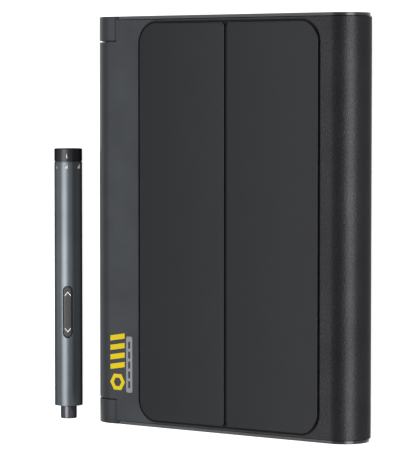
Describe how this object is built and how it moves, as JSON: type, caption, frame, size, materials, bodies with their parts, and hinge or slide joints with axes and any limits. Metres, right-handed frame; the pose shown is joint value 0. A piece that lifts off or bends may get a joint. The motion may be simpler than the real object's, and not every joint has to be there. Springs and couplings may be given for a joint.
{
  "type": "cordless precision screwdriver with hinged bit case",
  "caption": "Slim cordless precision screwdriver beside its book-shaped aluminium bit case, whose cover carries a fold-out leaf stand.",
  "frame": {"origin": "middle of the case's underside, on the rest face of the centre foot strip", "axes": "+Z out of the case's cover, +Y along the hinge towards the driver's tail, +X from the hinge to the rounded front edge"},
  "size_m": [0.2145, 0.2286, 0.0311],
  "materials": {
    "spine_aluminium": "bead-blasted, anodised mid grey",
    "cover_aluminium": "fine sand-blasted, anodised near black",
    "soft_touch": "soft-touch skin, matt",
    "black_rubber": "matt rubber",
    "black_plastic": "fine texture, matt",
    "button_plastic": "satin",
    "bright_steel": "ground and plated",
    "barrel_aluminium": "fine brushed, anodised blue-grey",
    "dark_metal": "satin black anodised",
    "board_green": "solder mask over fibreglass",
    "battery_wrap": "shrink sleeve",
    "lamp_lens": "frosted clear"
  },
  "bodies": {
    "case_base": {"base_shell": "cover_aluminium", "base_end_cap_top": "spine_aluminium", "base_end_cap_bottom": "spine_aluminium", "hinge_knuckle_top": "spine_aluminium", "hinge_knuckle_bottom": "spine_aluminium", "hinge_pin_top": "bright_steel", "hinge_pin_bottom": "bright_steel", "foot_strip_left": "black_rubber", "foot_strip_centre": "black_rubber", "foot_strip_right": "black_rubber", "base_screw_1": "bright_steel", "base_screw_2": "bright_steel", "base_screw_3": "bright_steel", "base_screw_4": "bright_steel", "base_magnet_rail": "bright_steel", "bit_tray": "black_plastic", "bit_rack_1": "black_plastic", "bit_rack_2": "black_plastic", "bit_rack_3": "black_plastic", "bit_set_1": "bright_steel", "bit_set_2": "bright_steel", "bit_set_3": "bright_steel"},
    "lid": {"hinge_spine": "spine_aluminium", "hinge_bush_top": "black_plastic", "hinge_bush_bottom": "black_plastic", "front_cover": "cover_aluminium", "lid_end_cap_top": "spine_aluminium", "lid_end_cap_bottom": "spine_aluminium", "lid_liner": "black_plastic", "stand_magnet_top": "bright_steel", "stand_magnet_bottom": "bright_steel", "magnetic_mat": "soft_touch", "lid_magnet_rail": "bright_steel", "stand_root_tape": "black_rubber"},
    "left_leaf": {"stand_left_leaf": "soft_touch", "stand_crease_tape": "black_rubber"},
    "right_leaf": {"stand_right_leaf": "soft_touch"},
    "driver": {"driver_barrel": "barrel_aluminium", "tail_plug": "black_plastic", "charging_inlet_shell": "bright_steel", "charging_inlet_tongue": "black_plastic", "rocker_seal": "black_rubber", "control_board": "board_green", "switch_forward": "bright_steel", "switch_reverse": "bright_steel", "inner_frame": "black_plastic", "battery_cell": "battery_wrap", "motor": "bright_steel", "planetary_gearbox": "dark_metal", "nose_bearing": "bright_steel", "lamp_ring": "lamp_lens"},
    "torque_ring": {"torque_ring": "dark_metal"},
    "rocker": {"rocker_button": "button_plastic"},
    "chuck": {"bit_chuck": "dark_metal", "chuck_magnet": "bright_steel", "output_shaft": "bright_steel"}
  },
  "joints": [
    {"name": "lid_hinge", "type": "hinge", "parent": "case_base", "child": "lid", "pos_m": [-0.0727, 0, 0.0153], "axis": [0, -1, 0], "range_deg": [0, 110]},
    {"name": "stand_root", "type": "hinge", "parent": "lid", "child": "left_leaf", "pos_m": [-0.0508, 0, 0.0299], "axis": [0, -1, 0], "range_deg": [0, 60]},
    {"name": "stand_crease", "type": "hinge", "parent": "left_leaf", "child": "right_leaf", "pos_m": [0.00775, 0, 0.0299], "axis": [0, -1, 0], "range_deg": [-120, 0]},
    {"name": "driver_slide", "type": "slide", "parent": "case_base", "child": "driver", "axis": [-1, 0, 0], "range_m": [0, 0.04]},
    {"name": "torque_select", "type": "hinge", "parent": "driver", "child": "torque_ring", "pos_m": [-0.1195, 0.0355, 0.008], "axis": [0, 1, 0], "range_deg": [-50, 50]},
    {"name": "rocker_tilt", "type": "hinge", "parent": "driver", "child": "rocker", "pos_m": [-0.11567, -0.054, 0.01337], "axis": [0.8141, 0, -0.5807], "range_deg": [-2.5, 2.5], "stiffness_Nm_per_rad": 0.3},
    {"name": "chuck_spin", "type": "hinge", "parent": "driver", "child": "chuck", "pos_m": [-0.1195, -0.11, 0.008], "axis": [0, 1, 0], "continuous": true}
  ],
  "couplings": [
    {"joint": "stand_crease", "follows": "stand_root", "ratio": -2}
  ]
}
